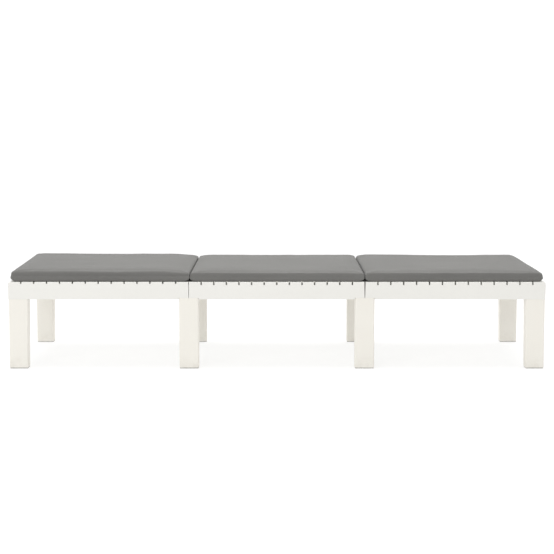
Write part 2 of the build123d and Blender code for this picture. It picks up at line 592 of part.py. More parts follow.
with BuildPart() as deck_screws:
    flange = SLAT_BOTTOM - CROSS_CROWN
    screwed_rails = (SEAT_CROSS_HEAD_X, SEAT_CROSS_FOOT_X, FOOT_CROSS_X)
    places = [(middle(span), y) for span in screwed_rails for y in DECK_SCREW_YS]
    places += [(x, 0) for span in (SEAT_X, FOOT_X) for x in spread(span, 2, BEAM_SCREW_MARGIN)]
    for x, y in places:
        drill_z(x, y, DECK_SCREW_R, flange, PILOT_TOP, Mode.ADD)
        drill_z(x, y, SCREW_HEAD_R, flange - SCREW_HEAD, flange, Mode.ADD)
save(deck_screws, "deck_screws")

with BuildPart() as ledge_screws:
    for side in SIDES.values():
        for span, face, z in (
                (HEAD_X, RACK_INNER, RACK_SCREW_Z),
                (SEAT_X, RAIL_INNER - LEDGE_WIDTH, LEDGE_SCREW_Z),
                (FOOT_X, RAIL_INNER - LEDGE_WIDTH, LEDGE_SCREW_Z)):
            for x in spread(span, LEDGE_SCREWS, LEDGE_SCREW_MARGIN):
                seat = side * (face + SCREW_HEAD)
                drill_y(x, z, LEDGE_SCREW_R, seat, side * HOLLOW_INNER, Mode.ADD)
                drill_y(x, z, SCREW_HEAD_R, side * face, seat, Mode.ADD)
save(ledge_screws, "ledge_screws")

with BuildPart() as backrest_screws:
    for side in SIDES.values():
        for x in BACK_SCREWS:
            drill_z(x, side * BACK_SCREW_Y, SCREW_HEAD_R, PANEL_BOTTOM, PANEL_BOTTOM + SCREW_HEAD, Mode.ADD)
            drill_z(x, side * BACK_SCREW_Y, DECK_SCREW_R, PANEL_BOTTOM + SCREW_HEAD, PILOT_TOP, Mode.ADD)
save(backrest_screws, "backrest_screws")

# ---------------------------------------------------------------- cushions and straps
CUSHION_BOTTOM = DECK_TOP + CUSHION_GAP
CUSHION_HALF_W = HALF_W - CUSHION_SIDE_INSET
FOLD_GAP = 0.5                  # from the fold plane to each cushion
SEAM_CLEAR = 3.0                # from the seat and foot seam to each cushion


def fold_x(height, towards):
    """Edge of a cushion at the hinge fold: two such faces meet when the backrest is fully raised."""
    return PIVOT_X + towards * ((height - PIVOT_Z) * tan(radians(RECLINE / 2)) + FOLD_GAP)


def cushion(name, low_left, low_right, top_left, top_right, thick):
    """A plain pad with straight sides, from its four corners along X."""
    top = CUSHION_BOTTOM + thick
    with BuildPart() as pad:
        with BuildSketch(Plane.XZ.offset(-CUSHION_HALF_W)):
            with BuildLine():
                Polyline(
                    (low_left, CUSHION_BOTTOM),
                    (low_right, CUSHION_BOTTOM),
                    (top_right, top),
                    (top_left, top),
                    close=True,
                )
            make_face()
        extrude(amount=2 * CUSHION_HALF_W)
        fillet(pad.edges().filter_by(Axis.X).group_by(Axis.Z)[-1], CUSHION_ROUND)
    save(pad, name)


HEAD_TOP = CUSHION_BOTTOM + CUSHION_HEAD
SEAT_TOP = CUSHION_BOTTOM + CUSHION_SEAT
CUSHION_END = HALF_L - CUSHION_END_INSET
HEAD_FOLD = (fold_x(CUSHION_BOTTOM, -1), fold_x(HEAD_TOP, -1))
SEAT_FOLD = (fold_x(CUSHION_BOTTOM, 1), fold_x(SEAT_TOP, 1))
SEAT_END = SEAM - SEAM_CLEAR
FOOT_START = SEAM + SEAM_CLEAR
cushion("cushion_head", -CUSHION_END, HEAD_FOLD[0], -CUSHION_END, HEAD_FOLD[1], CUSHION_HEAD)
cushion("cushion_seat", SEAT_FOLD[0], SEAT_END, SEAT_FOLD[1], SEAT_END, CUSHION_SEAT)
cushion("cushion_foot", FOOT_START, CUSHION_END, FOOT_START, CUSHION_END, CUSHION_SEAT)

STRAP_X = (PIVOT_X - STRAP_AT - STRAP_WIDTH / 2, PIVOT_X - STRAP_AT + STRAP_WIDTH / 2)
STRAP_CLEAR = 0.4
STRAP_HOOK = 12.0               # the strap ends this far up inside the panel's edge

for word, side in SIDES.items():
    with BuildPart() as strap:
        outer = PANEL_HALF_W + STRAP_CLEAR
        inner = PANEL_INNER_W - STRAP_CLEAR
        low = PANEL_BOTTOM - STRAP_CLEAR
        add_box(*STRAP_X, side * outer, side * (outer + STRAP_THICK), low, DECK_TOP + CUSHION_GAP / 2)
        add_box(*STRAP_X, side * (inner - STRAP_THICK), side * (outer + STRAP_THICK), low - STRAP_THICK, low)
        add_box(*STRAP_X, side * (inner - STRAP_THICK), side * inner, low, PANEL_BOTTOM + STRAP_HOOK)
    save(strap, f"cushion_strap_{word}")
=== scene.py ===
"""Looks of the reclining sun lounger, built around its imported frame. Metres, in the part's own frame."""
import json
import math

import bmesh
import bpy
import numpy as np
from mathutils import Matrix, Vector, noise
from mathutils.bvhtree import BVHTree


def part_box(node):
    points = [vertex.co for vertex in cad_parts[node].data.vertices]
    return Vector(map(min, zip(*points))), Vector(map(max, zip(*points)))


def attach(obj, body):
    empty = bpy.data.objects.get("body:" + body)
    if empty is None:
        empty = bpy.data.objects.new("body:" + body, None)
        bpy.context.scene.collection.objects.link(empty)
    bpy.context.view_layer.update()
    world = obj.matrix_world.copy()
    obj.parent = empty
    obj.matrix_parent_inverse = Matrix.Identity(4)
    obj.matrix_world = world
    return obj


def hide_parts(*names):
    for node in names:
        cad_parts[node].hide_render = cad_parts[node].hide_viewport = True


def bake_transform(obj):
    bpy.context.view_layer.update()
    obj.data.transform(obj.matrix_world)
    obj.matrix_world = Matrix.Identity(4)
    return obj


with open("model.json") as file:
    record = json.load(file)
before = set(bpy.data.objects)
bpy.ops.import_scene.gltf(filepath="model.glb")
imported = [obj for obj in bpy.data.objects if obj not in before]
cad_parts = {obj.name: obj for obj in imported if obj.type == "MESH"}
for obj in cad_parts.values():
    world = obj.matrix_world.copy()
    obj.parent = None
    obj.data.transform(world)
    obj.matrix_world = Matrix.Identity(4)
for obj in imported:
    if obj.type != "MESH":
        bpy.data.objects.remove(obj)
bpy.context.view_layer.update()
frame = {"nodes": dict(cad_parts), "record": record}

# ---------------------------------------------------------------- places read from the frame
MM = 0.001
DECK_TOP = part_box("seat_deck")[1].z
HEAD_PAD, SEAT_PAD, FOOT_PAD = (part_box(f"cushion_{name}") for name in ("head", "seat", "foot"))
HEAD_SEAM = (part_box("head_rail_near")[1].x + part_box("seat_rail_near")[0].x) / 2
FOOT_SEAM = (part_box("seat_rail_near")[1].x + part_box("foot_rail_near")[0].x) / 2

# ---------------------------------------------------------------- colours, linear RGB
RAIL_WHITE = (0.815, 0.803, 0.764)
LEG_WHITE = (0.850, 0.822, 0.758)
PANEL_WHITE = (0.838, 0.826, 0.788)
PROP_WHITE = (0.828, 0.816, 0.778)
GROUND_DUST = (0.50, 0.46, 0.39)
ZINC_BRIGHT = (0.66, 0.66, 0.67)
ZINC_DULL = (0.47, 0.47, 0.46)
RUBBER_PALE = (0.60, 0.59, 0.56)
RUBBER_SCUFFED = (0.40, 0.39, 0.37)
CANVAS_LIGHT = (0.202, 0.199, 0.189)
CANVAS_DARK = (0.136, 0.134, 0.127)
WEBBING_LIGHT = (0.150, 0.148, 0.142)
WEBBING_DARK = (0.085, 0.084, 0.080)
THREAD_LIGHT = (0.165, 0.162, 0.155)
THREAD_DARK = (0.105, 0.103, 0.098)
STUDIO_PALE = (0.37, 0.37, 0.368)
STUDIO_DIM = (0.35, 0.35, 0.349)
STUDIO_GLOW = (1.0, 1.0, 0.998)
WHITE = (1.0, 1.0, 1.0)
WARM_WHITE = (1.0, 0.995, 0.985)
COOL_WHITE = (0.965, 0.985, 1.0)


def rgba(colour, shade=1.0):
    """A colour with its alpha, made lighter or darker by a factor."""
    return (*(channel * shade for channel in colour), 1.0)


# ---------------------------------------------------------------- node materials
class Graph:
    """A short way to write a node material. Ranges are pairs: from the first number to the second."""

    def __init__(self, name):
        self.material = bpy.data.materials.new(name)
        self.material.use_nodes = True
        self.tree = self.material.node_tree
        self.shader = self.tree.nodes["Principled BSDF"]
        self.place = self.tree.nodes.new("ShaderNodeTexCoord").outputs["Object"]

    def link(self, value, socket):
        if isinstance(value, bpy.types.NodeSocket):
            self.tree.links.new(value, socket)
        else:
            socket.default_value = value

    def stretched(self, scale):
        node = self.tree.nodes.new("ShaderNodeMapping")
        self.link(self.place, node.inputs["Vector"])
        node.inputs["Scale"].default_value = scale
        return node.outputs["Vector"]

    def noise(self, scale, detail=2.0, roughness=0.5, place=None):
        node = self.tree.nodes.new("ShaderNodeTexNoise")
        self.link(place or self.place, node.inputs["Vector"])
        node.inputs["Scale"].default_value = scale
        node.inputs["Detail"].default_value = detail
        node.inputs["Roughness"].default_value = roughness
        return node.outputs["Fac"]

    def voronoi(self, scale):
        node = self.tree.nodes.new("ShaderNodeTexVoronoi")
        self.link(self.place, node.inputs["Vector"])
        node.inputs["Scale"].default_value = scale
        return node.outputs["Distance"]

    def math(self, operation, a, b=0.0):
        node = self.tree.nodes.new("ShaderNodeMath")
        node.operation = operation
        for value, socket in zip((a, b), node.inputs):
            self.link(value, socket)
        return node.outputs[0]

    def split(self):
        node = self.tree.nodes.new("ShaderNodeSeparateXYZ")
        self.link(self.place, node.inputs[0])
        return node.outputs

    def ramp(self, value, source, result=(0.0, 1.0)):
        node = self.tree.nodes.new("ShaderNodeMapRange")
        self.link(value, node.inputs["Value"])
        node.inputs["From Min"].default_value, node.inputs["From Max"].default_value = source
        node.inputs["To Min"].default_value, node.inputs["To Max"].default_value = result
        return node.outputs["Result"]

    def blend(self, share, a, b):
        node = self.tree.nodes.new("ShaderNodeMix")
        node.data_type = "RGBA"
        self.link(share, node.inputs["Factor"])
        self.link(a, node.inputs["A"])
        self.link(b, node.inputs["B"])
        return node.outputs["Result"]

    def bump(self, height, distance, strength, under=None):
        node = self.tree.nodes.new("ShaderNodeBump")
        self.link(height, node.inputs["Height"])
        node.inputs["Distance"].default_value = distance
        node.inputs["Strength"].default_value = strength
        if under is not None:
            self.link(under, node.inputs["Normal"])
        return node.outputs["Normal"]

    def soft_edges(self, radius, samples):
        node = self.tree.nodes.new("ShaderNodeBevel")
        node.inputs["Radius"].default_value = radius
        node.samples = samples
        return node.outputs["Normal"]

    def surface(self, **sockets):
        for name, value in sockets.items():
            self.link(value, self.shader.inputs[name.replace("_", " ")])
        return self.material


def moulded_plastic(name, colour, roughness, grain):
    """Moulded plastic: fine spark-eroded grain, faint flow marks, softened edges and a little ground dust."""
    g = Graph(name)
    flow = g.noise(scale=2.6, detail=3.0, roughness=0.55, place=g.stretched((1.0, 3.0, 3.0)))
    speck = g.noise(scale=420.0, detail=2.0, roughness=0.6)
    near_ground = g.ramp(g.split()["Z"], (50 * MM, 0.0))
    blotches = g.ramp(g.noise(scale=38.0, detail=5.0, roughness=0.7), (0.42, 0.75))
    dust = g.math("MULTIPLY", near_ground, blotches)
    tone = g.blend(g.ramp(flow, (0.3, 0.7), (0.0, 0.5)), rgba(colour), rgba(colour, shade=0.965))
    tone = g.blend(g.ramp(speck, (0.35, 0.75), (0.0, 0.25)), tone, rgba(colour, shade=0.93))
    tone = g.blend(g.math("MULTIPLY", dust, 0.35), tone, rgba(GROUND_DUST))
    flow_polish = g.ramp(flow, (0.3, 0.7), (roughness - 0.05, roughness + 0.05))
    polish = g.math("ADD", flow_polish, g.ramp(speck, (0.3, 0.7), (-0.04, 0.04)))
    waves = g.bump(g.noise(scale=9.0), distance=0.6 * MM, strength=0.35,
                   under=g.soft_edges(radius=0.8 * MM, samples=6))
    pits = g.bump(g.voronoi(scale=1500.0), distance=0.05 * MM, strength=grain, under=waves)
    return g.surface(Base_Color=tone, Roughness=polish, Normal=pits, Specular_IOR_Level=0.45)


def plated_steel(name):
    """Zinc plated steel: drawn marks, spangle and a duller film in patches."""
    g = Graph(name)
    drawn = g.noise(scale=900.0, detail=3.0, roughness=0.6, place=g.stretched((0.06, 1.0, 1.0)))
    patch = g.noise(scale=120.0, detail=4.0, roughness=0.6)
    tone = g.blend(g.ramp(patch, (0.35, 0.7)), rgba(ZINC_BRIGHT), rgba(ZINC_DULL))
    polish = g.math("ADD", g.ramp(patch, (0.3, 0.7), (0.24, 0.42)), g.ramp(drawn, (0.3, 0.7), (-0.05, 0.07)))
    return g.surface(Base_Color=tone, Metallic=1.0, Roughness=polish,
                     Normal=g.bump(drawn, distance=0.04 * MM, strength=0.5))


def soft_rubber(name):
    """Grey glide rubber, matt and scuffed."""
    g = Graph(name)
    scuff = g.noise(scale=160.0, detail=5.0, roughness=0.7, place=g.stretched((1.0, 1.0, 0.3)))
    tone = g.blend(g.ramp(scuff, (0.4, 0.75)), rgba(RUBBER_PALE), rgba(RUBBER_SCUFFED))
    return g.surface(Base_Color=tone, Roughness=g.ramp(scuff, (0.3, 0.8), (0.7, 0.9)),
                     Normal=g.bump(g.noise(scale=700.0), distance=0.12 * MM, strength=0.6))


def woven(name, light, dark, thread, depth, fuzz, laid=False):
    """Plain weave in two tones, with painted shade where the threads dip. Laid cloth follows the places kept
    on its mesh, other cloth lies in space.
    """
    g = Graph(name)
    if laid:
        g.place = g.tree.nodes.new("ShaderNodeAttribute").outputs["Vector"]
        g.place.node.attribute_name = "cloth"
    axes = g.split()
    warp_place = axes["X"] if laid else g.math("ADD", axes["X"], axes["Z"])
    weft_place = axes["Y"] if laid else g.math("ADD", axes["Y"], axes["Z"])
    half_turn = math.pi / thread
    warp = g.math("SINE", g.math("MULTIPLY", warp_place, half_turn))
    weft = g.math("SINE", g.math("MULTIPLY", weft_place, half_turn))
    over = g.ramp(g.math("MULTIPLY", warp, weft), (-0.12, 0.12))
    under = g.math("SUBTRACT", 1.0, over)
    cloth = g.math("ADD", g.math("MULTIPLY", over, g.math("ABSOLUTE", warp)),
                   g.math("MULTIPLY", under, g.math("ABSOLUTE", weft)))
    warp_yarn = g.noise(scale=90.0, detail=4.0, roughness=0.65, place=g.stretched((14.0, 0.5, 14.0)))
    weft_yarn = g.noise(scale=90.0, detail=4.0, roughness=0.65, place=g.stretched((0.5, 14.0, 14.0)))
    yarn = g.math("ADD", g.math("MULTIPLY", over, warp_yarn), g.math("MULTIPLY", under, weft_yarn))
    fading = g.noise(scale=5.0, detail=3.0, roughness=0.5, place=g.stretched((0.6, 1.6, 1.0)))
    tone = g.blend(g.ramp(yarn, (0.32, 0.68)), rgba(dark), rgba(light))
    # Painted shade: where the weave's height is low, in the hollows between the threads, the colour is
    # darkened towards a deeper tone of the dark yarn.
    tone = g.blend(g.ramp(cloth, (0.75, 0.15), (0.0, 0.45)), tone, rgba(dark, shade=0.55))
    tone = g.blend(g.ramp(fading, (0.35, 0.65), (0.0, 0.16)), tone, rgba(light, shade=1.22))
    fibres = g.bump(g.noise(scale=2600.0, detail=3.0, roughness=0.7), distance=0.08 * MM, strength=fuzz)
    weave = g.bump(cloth, distance=depth, strength=0.9, under=fibres)
    return g.surface(Base_Color=tone, Roughness=g.ramp(cloth, (0.0, 1.0), (0.95, 0.82)), Normal=weave,
                     Sheen_Weight=0.18, Sheen_Roughness=0.5, Specular_IOR_Level=0.25)


def sewing_thread(name):
    """Polyester thread a little darker than the cloth, twisted."""
    g = Graph(name)
    twist = g.noise(scale=2400.0)
    tone = g.blend(g.ramp(twist, (0.35, 0.65)), rgba(THREAD_DARK), rgba(THREAD_LIGHT))
    return g.surface(Base_Color=tone, Roughness=g.ramp(twist, (0.3, 0.7), (0.55, 0.75)),
                     Normal=g.bump(twist, distance=0.08 * MM, strength=0.6),
                     Sheen_Weight=0.1, Specular_IOR_Level=0.35)


def stage_material(name, glow):
    """Matt studio vinyl, nearly white, lit from within so that it stays pale in shade."""
    g = Graph(name)
    tone = g.blend(g.noise(scale=1.3, detail=4.0, roughness=0.6), rgba(STUDIO_DIM), rgba(STUDIO_PALE))
    polish = g.ramp(g.noise(scale=30.0, detail=3.0), (0.3, 0.7), (0.8, 0.9))
    return g.surface(Base_Color=tone, Roughness=polish,
                     Normal=g.bump(g.noise(scale=260.0, detail=3.0), distance=0.1 * MM, strength=0.3),
                     Specular_IOR_Level=0.2, Emission_Color=rgba(STUDIO_GLOW), Emission_Strength=glow)


MATERIALS = {
    "white_plastic": moulded_plastic("rail_plastic", RAIL_WHITE, roughness=0.46, grain=0.5),
    "leg_plastic": moulded_plastic("leg_plastic", LEG_WHITE, roughness=0.48, grain=0.6),
    "backrest_plastic": moulded_plastic("panel_plastic", PANEL_WHITE, roughness=0.48, grain=0.5),
    "prop_plastic": moulded_plastic("prop_plastic", PROP_WHITE, roughness=0.44, grain=0.5),
    "glide_plastic": soft_rubber("glide_rubber"),
    "steel": plated_steel("zinc_steel"),
    "grey_fabric": woven("grey_canvas", CANVAS_LIGHT, CANVAS_DARK, thread=1.1 * MM, depth=0.22 * MM, fuzz=0.5,
                         laid=True),
    "strap_webbing": woven("strap_webbing", WEBBING_LIGHT, WEBBING_DARK, thread=1.6 * MM, depth=0.45 * MM,
                           fuzz=0.4),
}
THREAD = sewing_thread("grey_thread")


def dress_frame():
    """Give every node of the frame its finished material."""
    slot_of = {row["node"]: row["material_slot"] for row in frame["record"]["subparts"]}
    for name, node in frame["nodes"].items():
        material = MATERIALS[slot_of[name]]
        if node.material_slots:
            for place in node.material_slots:
                place.material = material
        else:
            node.data.materials.append(material)


# ---------------------------------------------------------------- mesh helpers
def smooth_faces(mesh):
    for face in mesh.polygons:
        face.use_smooth = True


def new_object(name, bm, material):
    """Turn a bmesh into a linked object with a material."""
    mesh = bpy.data.meshes.new(name)
    bm.to_mesh(mesh)
    bm.free()
    piece = bpy.data.objects.new(name, mesh)
    bpy.context.scene.collection.objects.link(piece)
    mesh.materials.append(material)
    smooth_faces(mesh)
    return piece


def fill_rows(bm, rows):
    """Close neighbouring rows of points with faces."""
    for first, second in zip(rows, rows[1:]):
        for n in range(len(first) - 1):
            bm.faces.new((first[n], second[n], second[n + 1], first[n + 1]))


def vertex_array(mesh, attribute):
    """One vector for each point of a mesh: its place, co, or its normal."""
    values = np.empty(len(mesh.vertices) * 3, np.float32)
    mesh.vertices.foreach_get(attribute, values)
    return values.reshape(-1, 3).astype(float)


def set_coordinates(piece, points):
    piece.data.vertices.foreach_set("co", points.astype(np.float32).ravel())
    piece.data.update()


def apply_modifiers(piece):
    """Replace the piece's mesh with its evaluated one."""
    graph = bpy.context.evaluated_depsgraph_get()
    finished = bpy.data.meshes.new_from_object(piece.evaluated_get(graph))
    old = piece.data
    piece.modifiers.clear()
    piece.data = finished
    bpy.data.meshes.remove(old)
    smooth_faces(finished)


# ---------------------------------------------------------------- cushions
PAD_VOXEL = 6 * MM
PAD_EDGE = 8 * MM               # round of the edges of a pad's top and bottom
PAD_EDGE_STEPS = 6
PAD_CORNER_STEPS = 8
FLAT_FACE = 0.9                 # a face whose normal has more Z than this is the block's top or underside
PAD_LIFT = 0.6 * MM             # clear of the slats
PAD_SIDE = HEAD_PAD[1].y - 2 * MM               # half width of a pad before it is filled
HEAD_TOP = HEAD_PAD[1].z - 1 * MM               # tops before the pads are filled
SEAT_TOP = SEAT_PAD[1].z - 2 * MM
FOLD_AT = HEAD_SEAM + 3 * MM                    # where the head and seat pads meet
FOLD_GAP = 0.8 * MM                             # before the pads are filled; they swell until they meet
FREE_OVER = 1 * MM                              # a free end starts this far beyond its CAD solid

# Each end's round seen from above, and its rounds over and under the side seam: the length, and the share of
# the thickness that is left at the tip.
FREE = {"corner": 15 * MM, "over": (20 * MM, 0.60), "under": (28 * MM, 0.28)}
HEAD_FOLD = {"corner": 4 * MM, "over": (9 * MM, 0.86), "under": (26 * MM, 0.32)}
FOOT_FOLD = {"corner": 4 * MM, "over": (11 * MM, 0.76), "under": (30 * MM, 0.28)}
FOLD_PRESS = 10 * MM            # length over which a pad is pressed square against its neighbour
PRESSED = 0.2 * MM              # from a fold's middle to each pressed pad

SIM_FRAMES = 20
SIM_CAP = 3 * MM                # the most that a point may move
CLOTH = {
    "quality": 5,
    "mass": 0.3,
    "use_pressure": True,
    "uniform_pressure_force": 4.0,
    "shrink_min": -0.004,
    "tension_stiffness": 12.0,
    "compression_stiffness": 12.0,
    "shear_stiffness": 6.0,
    "bending_stiffness": 0.8,
}
HELD_UNDER = 2 * MM             # the underside up to this height is held, and so is the side seam

CROWN = 4.5 * MM                # the middle of a filled pad stands this much higher
CROWN_POWER = 6
WAIST = 2 * MM                  # its long sides pull in this far between the corners
WAVES = ((1.2 * MM, 7.0, 0), (0.5 * MM, 22.0, 5))       # soft waves: height, scale, step from the pad's seed
SWOLLEN = 1.2                   # the waves grow with height, up to this share above the top
SEAT_SLOPE = 0.12               # length over which the head pad comes down to the seat pad
HEAD_SKEW = 16 * MM             # the head pad's free end lies this much further out at the far side
SKEW_RUN = 0.25                 # length of pad over which it straightens
SEAM_GROOVE = 1.3 * MM
SEAM_WIDE = 3.0 * MM


def pad_block(name, low, high, corners):
    """The pad before it is filled: a block with round corners and edges. The corners are for its two ends."""
    bm = bmesh.new()
    bmesh.ops.create_cube(bm, size=1.0)
    size, centre = high - low, (high + low) / 2
    for vert in bm.verts:
        vert.co = Vector(a * b for a, b in zip(vert.co, size)) + centre
    for end, corner in zip((low.x, high.x), corners):
        upright = [edge for edge in bm.edges
                   if abs(edge.verts[0].co.z - edge.verts[1].co.z) > size.z / 2
                   and abs(edge.verts[0].co.x - end) < MM]
        bmesh.ops.bevel(bm, geom=upright, offset=corner, segments=PAD_CORNER_STEPS, profile=0.5,
                        affect="EDGES")
    rims = [edge for edge in bm.edges
            if len(edge.link_faces) == 2
            and sorted(abs(face.normal.z) > FLAT_FACE for face in edge.link_faces) == [False, True]]
    bmesh.ops.bevel(bm, geom=rims, offset=PAD_EDGE, offset_type="OFFSET", segments=PAD_EDGE_STEPS,
                    profile=0.5, clamp_overlap=True, affect="EDGES")
    bmesh.ops.triangulate(bm, faces=bm.faces)
    return new_object(name, bm, MATERIALS["grey_fabric"])


def remesh(piece):
    modifier = piece.modifiers.new("voxels", "REMESH")
    modifier.mode = "VOXEL"
    modifier.voxel_size = PAD_VOXEL
    modifier.use_smooth_shade = True
    apply_modifiers(piece)


def inflate(piece, low, high):
    """Fill the pad: a short cloth simulation under pressure, held at its underside and its side seam."""
    start = vertex_array(piece.data, "co")
    seam = (low.z + high.z) / 2
    inset = np.minimum(np.minimum(start[:, 0] - low.x, high.x - start[:, 0]),
                       np.minimum(start[:, 1] - low.y, high.y - start[:, 1]))
    under = start[:, 2] < low.z + HELD_UNDER
    stitched = (np.abs(start[:, 2] - seam) < PAD_VOXEL / 2) & (inset < FREE["corner"])
    held = piece.vertex_groups.new(name="held")
    held.add([int(i) for i in np.nonzero(under | stitched)[0]], 1.0, "REPLACE")
    cloth = piece.modifiers.new("fill", "CLOTH")
    for name, value in CLOTH.items():
        setattr(cloth.settings, name, value)
    cloth.settings.vertex_group_mass = "held"
    cloth.settings.effector_weights.gravity = 0.0
    cloth.point_cache.frame_start = 1
    cloth.point_cache.frame_end = SIM_FRAMES
    scene = bpy.context.scene
    for number in range(1, SIM_FRAMES + 1):
        scene.frame_set(number)
    swollen = piece.evaluated_get(bpy.context.evaluated_depsgraph_get())
    move = vertex_array(swollen.to_mesh(), "co") - start
    swollen.to_mesh_clear()
    scene.frame_set(1)
    piece.modifiers.clear()
    length = np.linalg.norm(move, axis=1)
    share = np.minimum(1.0, SIM_CAP / np.maximum(length, 1e-9))
    set_coordinates(piece, start + move * share[:, None])


def smooth_step(t):
    t = np.clip(t, 0.0, 1.0)
    return t * t * (3 - 2 * t)


def rumple(points, height, scale, seed):
    """A smooth random height for each point."""
    places = points * scale + (seed, 0, 0)
    return np.array([noise.noise(Vector(place)) for place in places]) * height


def press(points, plane, inward):
    """Square an end of the pad against the plane where its neighbour presses on it."""
    away = np.maximum((points[:, 0] - plane) * inward, 0.0)
    points[:, 0] = plane + inward * np.where(away < FOLD_PRESS, away ** 2 / FOLD_PRESS, away)


def nose(points, end, inward, shape, middle):
    """Round an end of the pad: it thins towards the seam, by its own length and share above and below."""
    upper = points[:, 2] > middle
    length = np.where(upper, shape["over"][0], shape["under"][0])
    tip = np.where(upper, shape["over"][1], shape["under"][1])
    along = np.clip((points[:, 0] - end) * inward / length, 0.0, 1.0)
    bow = np.sqrt(1 - (1 - along) ** 2)
    points[:, 2] = middle + (points[:, 2] - middle) * (tip + (1 - tip) * bow)


def crown(points, low, high):
    """Raise the middle of the top, and pull in the long sides between their corners."""
    centre, half = (low + high) / 2, (high - low) / 2
    across = np.clip(np.abs(points[:, 1] - centre.y) / half.y, 0, 1)
    along = np.clip(np.abs(points[:, 0] - centre.x) / half.x, 0, 1)
    share = np.clip((points[:, 2] - centre.z) / half.z, 0.0, 1.0)
    points[:, 2] += share * CROWN * (1 - across ** CROWN_POWER) * (1 - along ** (2 * CROWN_POWER))
    points[:, 1] -= np.sign(points[:, 1]) * across ** 2 * (1 - along ** 2) * WAIST


def shape_pad(points, low, high, seed, ends, drop, skew):
    """Move a filled pad's points: soft waves, the slope to the next pad, pressed and round ends, skew."""
    share = np.clip((points[:, 2] - low.z) / (high.z - low.z), 0.0, SWOLLEN)
    for height, scale, seed_step in WAVES:
        points[:, 2] += share * rumple(points, height, scale, seed + seed_step)
    points[:, 2] -= share * drop * smooth_step(1 - (high.x - points[:, 0]) / SEAT_SLOPE)
    points[:, 2] = np.maximum(points[:, 2], low.z)
    if ends[0] is not FREE:
        press(points, low.x - FOLD_GAP + PRESSED, 1)
    if ends[1] is not FREE:
        press(points, high.x + FOLD_GAP - PRESSED, -1)
    reach = (points[:, 0].min(), points[:, 0].max())
    crown(points, low, high)
    for end, inward, shape in zip(reach, (1, -1), ends):
        nose(points, end, inward, shape, (low.z + high.z) / 2)
    far_share = (points[:, 1] - low.y) / (high.y - low.y)
    points[:, 0] -= skew * far_share * smooth_step(1 - (points[:, 0] - low.x) / SKEW_RUN)


def sink_seam(piece, height):
    """Press the groove of the side seam into the pad's sides."""
    points = vertex_array(piece.data, "co")
    normals = vertex_array(piece.data, "normal")
    sideways = 1 - np.abs(normals[:, 2])
    groove = np.exp(-((points[:, 2] - height) / SEAM_WIDE) ** 2) * sideways * SEAM_GROOVE
    set_coordinates(piece, points - normals * groove[:, None])


def cloth_places(piece, top):
    """Where each point lies on the flat cloth, for the weave: it turns down over the sides."""
    points = vertex_array(piece.data, "co")
    normals = vertex_array(piece.data, "normal")
    drop = np.maximum(top - points[:, 2], 0.0)
    flat = np.column_stack((points[:, 0] + normals[:, 0] * drop, points[:, 1] + normals[:, 1] * drop,
                            points[:, 2]))
    places = piece.data.attributes.new("cloth", "FLOAT_VECTOR", "POINT")
    places.data.foreach_set("vector", flat.astype(np.float32).ravel())


def pad(name, span, top, seed, ends, drop=0.0, skew=0.0):
    """One filled pad and its top stitches: block, remesh, cloth simulation, shaping, subdivision, seam."""
    low = Vector((span[0], -PAD_SIDE, DECK_TOP + PAD_LIFT))
    high = Vector((span[1], PAD_SIDE, top))
    piece = pad_block(name, low, high, [end["corner"] for end in ends])
    remesh(piece)
    inflate(piece, low, high)
    points = vertex_array(piece.data, "co")
    shape_pad(points, low, high, seed, ends, drop, skew)
    set_coordinates(piece, points)
    piece.modifiers.new("fine", "SUBSURF").levels = 1
    apply_modifiers(piece)
    sink_seam(piece, (low.z + high.z) / 2)
    cloth_places(piece, high.z)
    return piece, stitches(name.replace("cushion", "seam_stitches"), piece, low, high, ends)


# ---------------------------------------------------------------- top stitches
STITCH_PITCH = 5.5 * MM
STITCH_LENGTH = 3.6 * MM
STITCH_R = 0.4 * MM
STITCH_SIDES = 6
STITCH_UP = 3.4 * MM            # above the seam's groove
# Along a stitch: share of its length, share of its radius, and height over the cloth in radii.
STITCH_RINGS = ((0.0, 0.35, -0.6), (0.18, 0.9, 0.1), (0.5, 1.0, 0.35), (0.82, 0.9, 0.1), (1.0, 0.35, -0.6))
STITCH_REACH = 6 * PAD_EDGE     # how far a stitch may be from where it looks for the cloth


def seam_walk(low, high, ends):
    """Places outside a pad, the direction towards it and the row's direction, along its open sides."""
    margin = FREE["corner"]
    for side in (-1, 1):
        for x in np.arange(low.x + margin, high.x - margin, STITCH_PITCH):
            yield Vector((x, side * (PAD_SIDE + PAD_EDGE), 0)), Vector((0, -side, 0)), Vector((1, 0, 0))
    for x, outward, end in ((low.x, -1, ends[0]), (high.x, 1, ends[1])):
        if end is FREE:
            for y in np.arange(low.y + margin, high.y - margin, STITCH_PITCH):
                yield Vector((x + outward * 3 * PAD_EDGE, y, 0)), Vector((-outward, 0, 0)), Vector((0, 1, 0))


def stitches(name, cushion, low, high, ends):
    """A row of top stitches above the side seam, each one a short thread that dips in at its ends."""
    height = (low.z + high.z) / 2 + STITCH_UP
    tree = BVHTree.FromObject(cushion, bpy.context.evaluated_depsgraph_get())
    bm = bmesh.new()
    for place, inward, along in seam_walk(low, high, ends):
        place.z = height
        spot, normal, _, _ = tree.ray_cast(place, inward, STITCH_REACH)
        if spot is None:
            continue
        up = along.cross(normal)
        rings = []
        for share, width, lift in STITCH_RINGS:
            centre = spot + along * (share - 0.5) * STITCH_LENGTH + normal * lift * STITCH_R
            turns = (math.tau * n / STITCH_SIDES for n in range(STITCH_SIDES))
            spokes = (normal * math.cos(turn) + up * math.sin(turn) for turn in turns)
            rings.append([bm.verts.new(centre + spoke * STITCH_R * width) for spoke in spokes])
        for first, second in zip(rings, rings[1:]):
            for n in range(STITCH_SIDES):
                after = (n + 1) % STITCH_SIDES
                bm.faces.new((first[n], first[after], second[after], second[n]))
        bm.faces.new(rings[0][::-1])
        bm.faces.new(rings[-1])
    bmesh.ops.recalc_face_normals(bm, faces=bm.faces)
    piece = new_object(name, bm, THREAD)
    return piece


